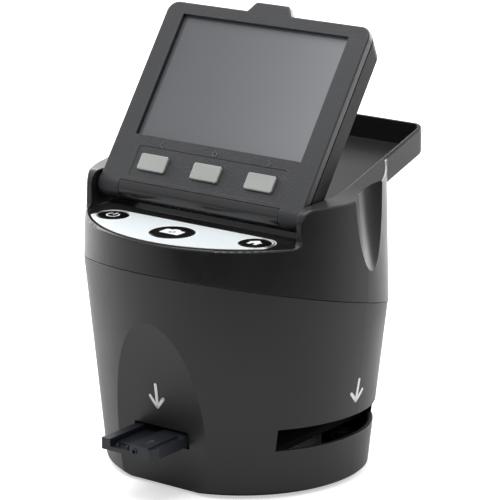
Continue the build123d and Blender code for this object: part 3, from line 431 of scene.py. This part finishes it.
def ring_quads(centre, inner, outer, start_deg, end_deg, steps):
    """Quads of a ring sector in the plane."""
    quads = []
    for i in range(steps):
        angles = [math.radians(start_deg + (end_deg - start_deg) * (i + k) / steps) for k in (0, 1)]
        corners = [(angles[0], inner), (angles[0], outer), (angles[1], outer), (angles[1], inner)]
        quads.append([(centre[0] + r * math.cos(a), centre[1] + r * math.sin(a))
                      for a, r in corners])
    return quads


def disc_loop(centre, radius, steps):
    """Outline of a disc in the plane."""
    turn = 2 * math.pi / steps
    return [(centre[0] + radius * math.cos(i * turn), centre[1] + radius * math.sin(i * turn))
            for i in range(steps)]


def bar(a, b, width):
    """Rectangle from a to b with that width."""
    a, b = Vector(a), Vector(b)
    side = (b - a).orthogonal().normalized() * width / 2
    return [tuple(a + side), tuple(a - side), tuple(b - side), tuple(b + side)]


def on_button(loops):
    """Flat outlines laid on the buttons' tops."""
    return [[mm(x, y, BUTTON_TOP_Z) for x, y in loop] for loop in loops]


def power_sign():
    """Open ring with an upright bar in its gap."""
    x, y = POWER_CENTRE
    radius, width = 2.3, 0.62
    gap_left_deg, gap_right_deg, segments = 125, 415, 28
    bar_low, bar_past_ring = 0.3, 0.7
    loops = ring_quads((x, y), radius - width / 2, radius + width / 2, gap_left_deg, gap_right_deg,
                       segments)
    loops.append(bar((x, y + bar_low), (x, y + radius + bar_past_ring), width))
    flat_mesh("power_sign", on_button(loops), "print_white", "power_button")


def ring_frame(centre, half_w, half_h, hole, steps):
    """Rectangle with a round hole, as quads between the two outlines."""
    tiny = 1e-6
    quads = []
    for i in range(steps):
        pair = []
        for k in (i, i + 1):
            angle = 2 * math.pi * k / steps
            c, s = math.cos(angle), math.sin(angle)
            reach = min(half_w / max(abs(c), tiny), half_h / max(abs(s), tiny))
            pair.append(((centre[0] + hole * c, centre[1] + hole * s),
                         (centre[0] + reach * c, centre[1] + reach * s)))
        quads.append([pair[0][0], pair[0][1], pair[1][1], pair[1][0]])
    return quads


def camera_sign():
    """Camera body with a hump and a round lens."""
    x, y = CAPTURE_CENTRE
    half_w, half_h, lens_opening, lens_radius = 4.2, 2.6, 1.25, 0.85
    hump_foot, hump_top, hump_height = 1.7, 1.2, 1.0
    body = ring_frame((x, y), half_w, half_h, lens_opening, 32)
    hump_top_y = y + half_h + hump_height
    hump = [(x - hump_foot, y + half_h), (x + hump_foot, y + half_h), (x + hump_top, hump_top_y),
            (x - hump_top, hump_top_y)]
    lens = disc_loop((x, y), lens_radius, 24)
    flat_mesh("camera_sign", on_button(body + [hump, lens]), "print_white", "capture_button")


def rectangle(x0, x1, top, foot):
    """Corners from the upper left one, down, across and up."""
    return [(x0, top), (x0, foot), (x1, foot), (x1, top)]


def home_sign():
    """House with a roof, two wall pieces and a lintel over the door."""
    x, y = HOME_CENTRE
    half_roof, roof_top, eaves = 3.0, 2.9, 0.2
    half_wall, half_door, foot, door_top = 2.1, 0.6, -2.4, -0.8
    roof = [(x - half_roof, y + eaves), (x, y + roof_top), (x + half_roof, y + eaves)]
    left = rectangle(x - half_wall, x - half_door, y + eaves, y + foot)
    right = rectangle(x + half_door, x + half_wall, y + eaves, y + foot)
    lintel = rectangle(x - half_door, x + half_door, y + eaves, y + door_top)
    flat_mesh("home_sign", on_button([roof, left, right, lintel]), "print_white", "home_button")


def surface_tree(node):
    """Search tree over the node's faces."""
    mesh = frame["nodes"][node].data
    bm = bmesh.new()
    bm.from_mesh(mesh)
    tree = BVHTree.FromBMesh(bm)
    bm.free()
    return tree


def stroke_loops(strokes, width, steps):
    """Outlines of straight strokes with round ends, cut into short lengths."""
    loops = []
    for start, end in strokes:
        start, end = Vector(start), Vector(end)
        side = (end - start).orthogonal().normalized() * width / 2
        for i in range(steps):
            a = start.lerp(end, i / steps)
            b = start.lerp(end, (i + 1) / steps)
            loops.append([a + side, a - side, b - side, b + side])
        for centre in (start, end):
            loops.append([Vector(p) for p in disc_loop(centre, width / 2, ROUND_END_SIDES)])
    return loops


def dropped(node, loops, origin, across, up, inward):
    """Flat outlines dropped along inward onto the node's surface."""
    tree = surface_tree(node)
    placed = []
    for loop in loops:
        points = []
        for x, y in loop:
            start = origin + across * x * MM + up * y * MM
            hit = tree.ray_cast(start, inward)
            points.append(hit[0] - inward * PRINT_GAP * MM)
        placed.append(points)
    return placed


def printed_arrow(name, arrow, origin, across, inward):
    """Arrow printed on the lower housing, upright, seen along inward."""
    strokes = [(arrow["tail"], arrow["tip"])] + [(barb, arrow["tip"]) for barb in arrow["barbs"]]
    loops = dropped("lower_housing", stroke_loops(strokes, ARROW_STROKE, ARROW_PIECES), origin,
                    across, UPRIGHT, inward)
    flat_mesh(name, loops, "print_white", "root")


def arrows():
    """The arrows above the front slot and the side slot."""
    printed_arrow("front_arrow", FRONT_ARROW, mm(0, -OUTSIDE, 0), SIDEWAYS, BACKWARD)
    printed_arrow("side_arrow", SIDE_ARROW, mm(OUTSIDE, 0, 0), BACKWARD, -SIDEWAYS)


def bezel_signs():
    """Raised marks above the three keys: back, ring and forward."""
    up = Vector((0.0, math.cos(SCREEN_LEAN), math.sin(SCREEN_LEAN)))
    inward = Vector((0.0, math.sin(SCREEN_LEAN), -math.cos(SCREEN_LEAN)))
    origin = mm(*SCREEN_ORIGIN) - inward * ABOVE_SCREEN * MM
    row = KEY_MARK_ROW
    marks = {}
    for name, turn in (("back_sign", -1), ("forward_sign", 1)):
        x = KEY_MARK_SHIFT + turn * KEY_PITCH
        reach = turn * KEY_MARK_REACH
        tip = (x + reach, row)
        tails = [(x - reach, row + rise) for rise in (KEY_MARK_RISE, -KEY_MARK_RISE)]
        marks[name] = stroke_loops([(tail, tip) for tail in tails], KEY_MARK_STROKE, 2)
    marks["middle_sign"] = ring_quads((MIDDLE_MARK_X, row), *MIDDLE_MARK_RADII, 0, 360, 20)
    for name, loops in marks.items():
        raised = dropped("screen_bezel", loops, origin, SIDEWAYS, up, inward)
        flat_mesh(name, raised, "bezel_mark", "screen", KEY_MARK_HEIGHT)


def adapter_details():
    """Round catch on the adapter's front with a near-black disc painted in its middle as the shade
    of its hole, and an arrow on its top.
    """
    def add(name, loops, origin, up, inward, material, height=PRINT_HEIGHT):
        laid = dropped("film_adapter", loops, origin, SIDEWAYS, up, inward)
        flat_mesh(name, laid, material, "film_adapter", height)

    front = (mm(0, -OUTSIDE, 0), UPRIGHT, BACKWARD)
    # Near-black disc painted as the shade inside the catch's hole.
    add("adapter_hole", [disc_loop(CATCH_CENTRE, CATCH_HOLE_RADIUS, 20)], *front, "adapter_hole")
    add("adapter_catch", ring_quads(CATCH_CENTRE, CATCH_HOLE_RADIUS, CATCH_RADIUS, 0, 360, 20),
        *front, "adapter_plastic", CATCH_HEIGHT)
    x, tip_y = ADAPTER_ARROW_X, ADAPTER_ARROW_TIP_Y
    barb_x, barb_y = ADAPTER_ARROW_BARB
    tails = [(x, tip_y - ADAPTER_ARROW_LENGTH), (x - barb_x, tip_y - barb_y),
             (x + barb_x, tip_y - barb_y)]
    strokes = [(tail, (x, tip_y)) for tail in tails]
    add("adapter_arrow", stroke_loops(strokes, ADAPTER_ARROW_STROKE, 2),
        mm(0, 0, ABOVE_ADAPTER), BACKWARD, -UPRIGHT, "adapter_mark")


def label_rim():
    """Whiter band that follows the label's outline and its holes."""
    source = frame["nodes"]["control_label"].data
    level = 0.9
    top = max(v.co.z for v in source.vertices)
    bm = bmesh.new()
    bm.from_mesh(source)
    below = [f for f in bm.faces if f.normal.z < level or f.calc_center_median().z < top - 1e-5]
    bmesh.ops.delete(bm, geom=below, context="FACES")
    bmesh.ops.remove_doubles(bm, verts=bm.verts, dist=1e-6)
    ring = bmesh.ops.inset_region(bm, faces=bm.faces[:], thickness=LABEL_RIM_WIDTH * MM,
                                  use_even_offset=True, use_boundary=True)["faces"]
    keep = set(ring)
    bmesh.ops.delete(bm, geom=[f for f in bm.faces if f not in keep], context="FACES")
    piece = placed_object(bm, "label_rim")
    thicken(piece, LABEL_RIM_HEIGHT)
    piece.data.materials.append(MATERIALS["label_rim"])
    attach(piece, "root")


# ---- Stage, light and camera ----
def camera_axes():
    """The camera's right, up and backward directions."""
    az, el, roll = CAMERA_AZIMUTH, CAMERA_ELEVATION, CAMERA_ROLL
    back = Vector((math.sin(az) * math.cos(el), -math.cos(az) * math.cos(el), math.sin(el)))
    right = Vector((math.cos(az), math.sin(az), 0.0))
    up = back.cross(right)
    return (right * math.cos(roll) + up * math.sin(roll),
            up * math.cos(roll) - right * math.sin(roll), back)


def make_camera():
    """Camera at the place and with the lens fitted to the photograph."""
    data = bpy.data.cameras.new("camera")
    data.sensor_width = SENSOR_WIDTH
    data.lens = FOCAL_PIXELS * SENSOR_WIDTH / IMAGE_SIZE
    data.clip_start, data.clip_end = CAMERA_CLIP
    camera = bpy.data.objects.new("camera", data)
    bpy.context.scene.collection.objects.link(camera)
    turn = Matrix(camera_axes()).transposed().to_4x4()
    camera.matrix_world = Matrix.Translation(mm(*CAMERA_PLACE)) @ turn
    bpy.context.scene.camera = camera


def softbox(name, place, size, power):
    """Rectangular lamp that faces the scanner."""
    data = bpy.data.lights.new(name, "AREA")
    data.shape = "RECTANGLE"
    data.size, data.size_y = size
    data.energy = power
    light = bpy.data.objects.new(name, data)
    bpy.context.scene.collection.objects.link(light)
    light.location = Vector(place)
    aim = Vector(LIGHT_TARGET) - Vector(place)
    light.rotation_euler = aim.to_track_quat("-Z", "Y").to_euler()


def seen_ray(tree):
    """1 for camera, glossy and transmission rays, else 0."""
    path = tree.nodes.new("ShaderNodeLightPath")
    total = None
    for name in ("Is Camera Ray", "Is Glossy Ray", "Is Transmission Ray"):
        if total is None:
            total = path.outputs[name]
            continue
        either = tree.nodes.new("ShaderNodeMath")
        either.operation = "MAXIMUM"
        tree.links.new(total, either.inputs[0])
        tree.links.new(path.outputs[name], either.inputs[1])
        total = either.outputs[0]
    return total


def stage_plane(name, half_size):
    """Square level plane of the stage, with no material yet."""
    bm = bmesh.new()
    bmesh.ops.create_grid(bm, x_segments=1, y_segments=1, size=half_size)
    return placed_object(bm, name)


def make_floor():
    """White floor under the feet, which keeps the scanner's shadow."""
    floor = stage_plane("floor", FLOOR_HALF_SIZE)
    floor.location.z = CAD_BOUNDS[0][2]
    n = Nodes("floor")
    diffuse = n.add("ShaderNodeBsdfDiffuse")
    diffuse.inputs["Color"].default_value = rgba((FLOOR_GREY,) * 3)
    glow = n.add("ShaderNodeEmission")
    path = n.add("ShaderNodeLightPath")
    n.feed(glow.inputs["Strength"], n.math("MULTIPLY", path.outputs["Is Camera Ray"], FLOOR_GLOW))
    total = n.add("ShaderNodeAddShader")
    n.tree.links.new(diffuse.outputs[0], total.inputs[0])
    n.tree.links.new(glow.outputs[0], total.inputs[1])
    floor.data.materials.append(n.surface(total))


def make_front_card():
    """Dark card in front of the picture, unseen itself, for the deep tones of the front."""
    card = stage_plane("front_flag", CARD_HALF_SIZE)
    toward = Vector((math.sin(CAMERA_AZIMUTH), -math.cos(CAMERA_AZIMUTH), 0.0))
    card.location = toward * CARD_DISTANCE
    card.location.z = CAD_BOUNDS[0][2] + CARD_LIFT
    card.rotation_euler.z = CAMERA_AZIMUTH
    n = Nodes("front_flag")
    cloth = n.add("ShaderNodeBsdfDiffuse")
    cloth.inputs["Color"].default_value = rgba((CARD_GREY,) * 3)
    clear = n.add("ShaderNodeBsdfTransparent")
    seen = n.add("ShaderNodeMixShader")
    n.feed(seen.inputs[0], n.add("ShaderNodeLightPath").outputs["Is Camera Ray"])
    n.tree.links.new(cloth.outputs[0], seen.inputs[1])
    n.tree.links.new(clear.outputs[0], seen.inputs[2])
    card.data.materials.append(n.surface(seen))


def make_world():
    """White world that lights gently and shows as full white behind and in reflections."""
    world = bpy.data.worlds.new("world")
    bpy.context.scene.world = world
    world.use_nodes = True
    tree = world.node_tree
    strength = tree.nodes.new("ShaderNodeMix")
    strength.inputs["A"].default_value = WORLD_LIGHT
    strength.inputs["B"].default_value = WORLD_SEEN
    tree.links.new(seen_ray(tree), strength.inputs["Factor"])
    background = tree.nodes["Background"]
    background.inputs["Color"].default_value = rgba((1.0, 1.0, 1.0))
    tree.links.new(strength.outputs["Result"], background.inputs["Strength"])


dress_cad_nodes()
label_rim()
power_sign()
camera_sign()
home_sign()
arrows()
bezel_signs()
adapter_details()
make_floor()
make_front_card()
make_world()
for box in SOFTBOXES:
    softbox(**box)
make_camera()
bpy.context.scene.view_settings.view_transform = "Standard"
